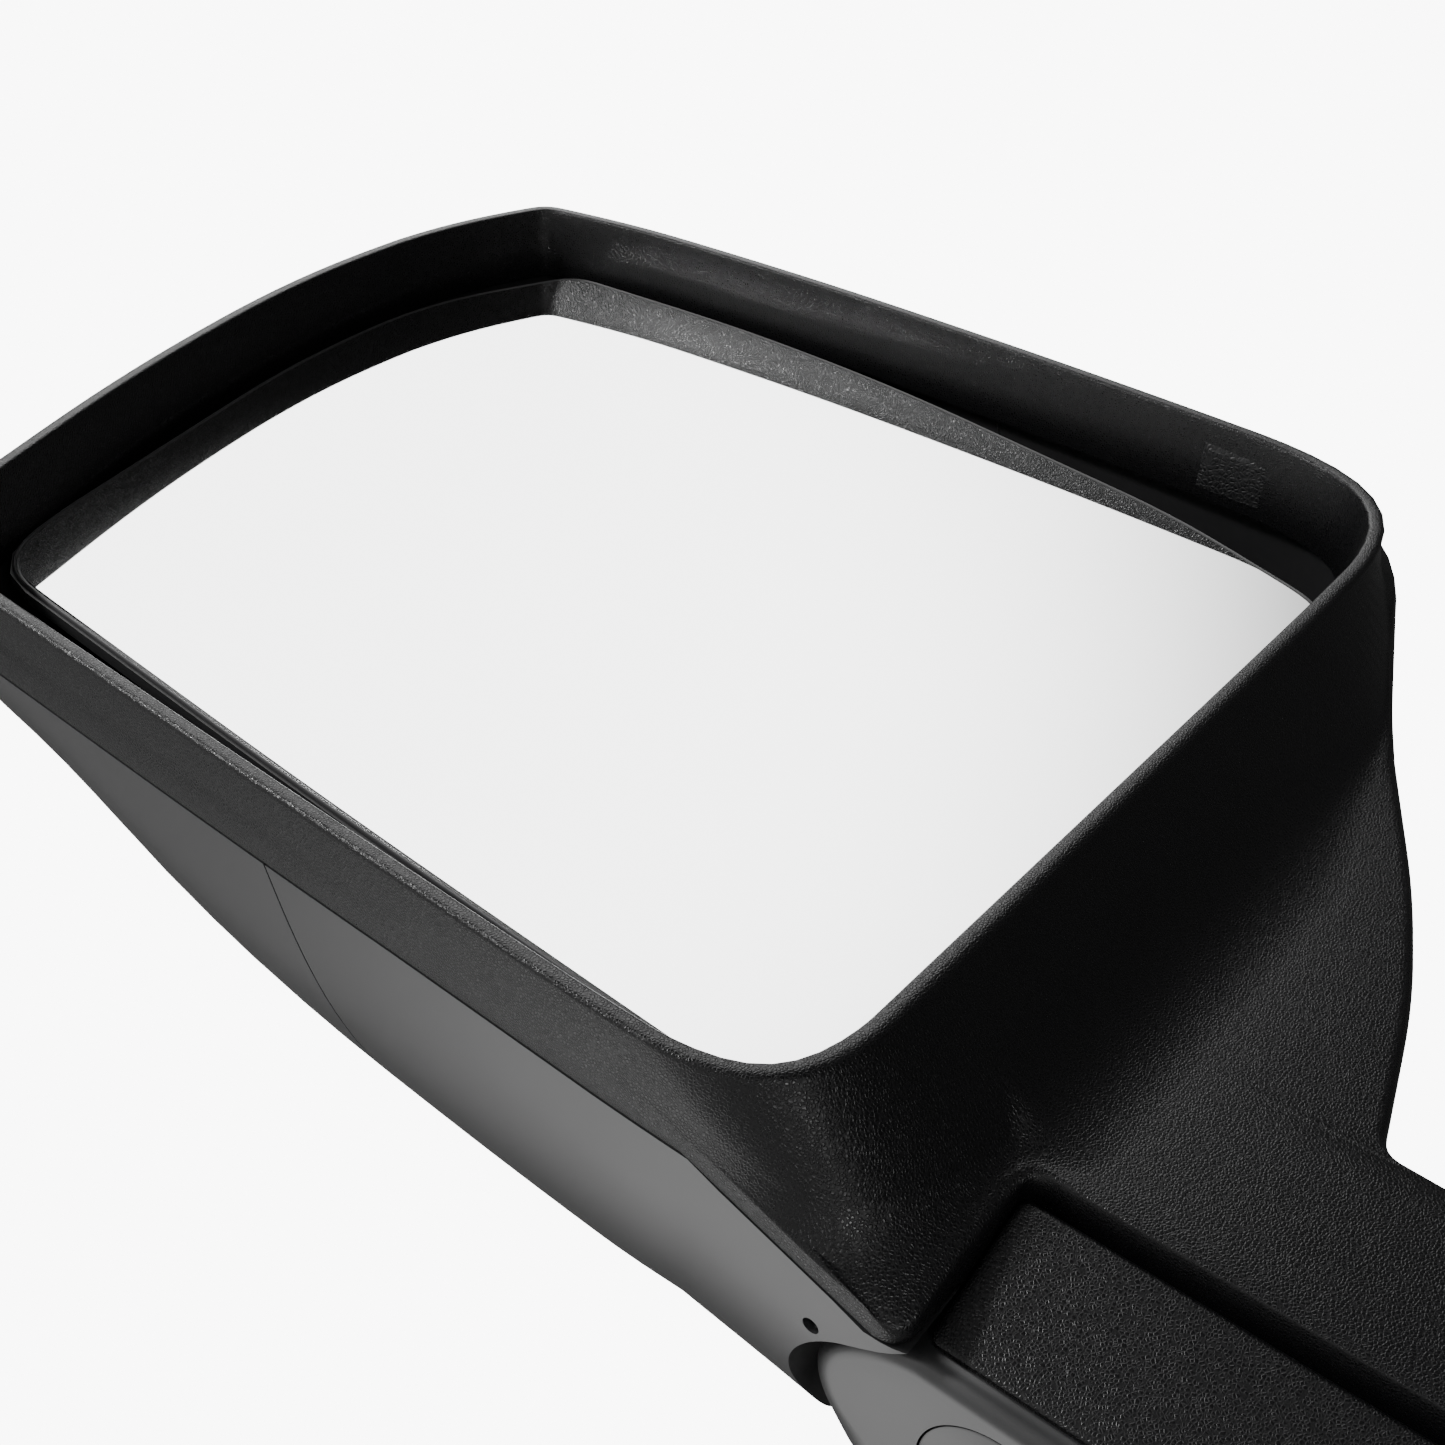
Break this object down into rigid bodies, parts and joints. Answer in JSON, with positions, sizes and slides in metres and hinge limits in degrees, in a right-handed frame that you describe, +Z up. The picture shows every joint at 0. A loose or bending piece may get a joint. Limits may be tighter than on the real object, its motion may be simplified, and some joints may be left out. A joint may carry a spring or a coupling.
{
  "type": "towing mirror",
  "caption": "Left-hand towing mirror: a wide grained frame round a powered glass, a smooth front shell, and a head that folds on a straight arm from a door foot.",
  "frame": {"origin": "centre of the door plate's mounting face", "axes": "+X inboard, out of the mounting face towards the vehicle; +Y forward; +Z up; the glass faces -Y"},
  "size_m": [0.5095, 0.1082, 0.287],
  "materials": {
    "grained_plastic": "fine moulded grain",
    "satin_plastic": "smooth satin",
    "cast_aluminium": "as cast",
    "zinc_steel": "zinc plated",
    "white_nylon": "natural",
    "inner_plastic": "moulded",
    "seal_rubber": "matt",
    "mirror_silver": "polished",
    "heater_foil": "printed film"
  },
  "bodies": {
    "base": {"door_plate": "cast_aluminium", "door_gasket": "seal_rubber", "foot_cover": "grained_plastic", "mounting_stud_1": "zinc_steel", "mounting_stud_2": "zinc_steel", "mounting_stud_3": "zinc_steel", "wiring_connector": "inner_plastic", "arm_frame": "cast_aluminium", "arm_lower_shell": "satin_plastic", "arm_rear_panel": "grained_plastic", "pivot_cap": "satin_plastic", "arm_screw_1": "zinc_steel", "arm_screw_2": "zinc_steel", "arm_screw_3": "zinc_steel", "arm_screw_4": "zinc_steel", "lower_thrust_ring": "white_nylon", "pivot_spring": "zinc_steel", "spring_washer": "zinc_steel", "retaining_nut": "zinc_steel"},
    "head": {"rear_bezel": "grained_plastic", "front_shell_inboard": "satin_plastic", "front_shell_outboard": "satin_plastic", "shell_screw": "zinc_steel", "head_bracket": "cast_aluminium", "pivot_bushing": "white_nylon", "upper_thrust_ring": "white_nylon", "actuator_housing": "inner_plastic", "actuator_cover": "inner_plastic", "drive_screw_1": "zinc_steel", "drive_screw_2": "zinc_steel", "drive_screw_3": "zinc_steel", "pan_motor": "zinc_steel", "tilt_motor": "zinc_steel"},
    "gimbal": {"gimbal_ring": "white_nylon"},
    "glass": {"glass_carrier": "inner_plastic", "heater_pad": "heater_foil", "mirror_glass": "mirror_silver"},
    "pan_screw": {"pan_plunger": "white_nylon"},
    "tilt_screw": {"tilt_plunger": "white_nylon"},
    "pan_wheel": {"pan_gear": "white_nylon"},
    "tilt_wheel": {"tilt_gear": "white_nylon"}
  },
  "joints": [
    {"name": "head_fold", "type": "hinge", "parent": "base", "child": "head", "pos_m": [-0.1854, 0, 0], "axis": [0, 0, 1], "range_deg": [-75, 0]},
    {"name": "glass_pan", "type": "hinge", "parent": "head", "child": "gimbal", "pos_m": [-0.337, -0.022, 0.101], "axis": [0, 0, 1], "range_deg": [-6, 6]},
    {"name": "glass_tilt", "type": "hinge", "parent": "gimbal", "child": "glass", "pos_m": [-0.337, -0.022, 0.101], "axis": [1, 0, 0], "range_deg": [-6, 6]},
    {"name": "pan_lift", "type": "slide", "parent": "head", "child": "pan_screw", "axis": [0, 1, 0], "range_m": [-0.0041, 0.0041]},
    {"name": "tilt_lift", "type": "slide", "parent": "head", "child": "tilt_screw", "axis": [0, 1, 0], "range_m": [-0.0041, 0.0041]},
    {"name": "pan_gear_turn", "type": "hinge", "parent": "head", "child": "pan_wheel", "pos_m": [-0.375, 0, 0.101], "axis": [0, 1, 0], "range_deg": [-240, 240]},
    {"name": "tilt_gear_turn", "type": "hinge", "parent": "head", "child": "tilt_wheel", "pos_m": [-0.337, 0, 0.063], "axis": [0, 1, 0], "range_deg": [-240, 240]}
  ],
  "couplings": [
    {"joint": "pan_lift", "follows": "glass_pan", "m_per_rad": -0.038},
    {"joint": "pan_gear_turn", "follows": "glass_pan", "ratio": -39.79},
    {"joint": "tilt_lift", "follows": "glass_tilt", "m_per_rad": 0.038},
    {"joint": "tilt_gear_turn", "follows": "glass_tilt", "ratio": 39.79}
  ]
}
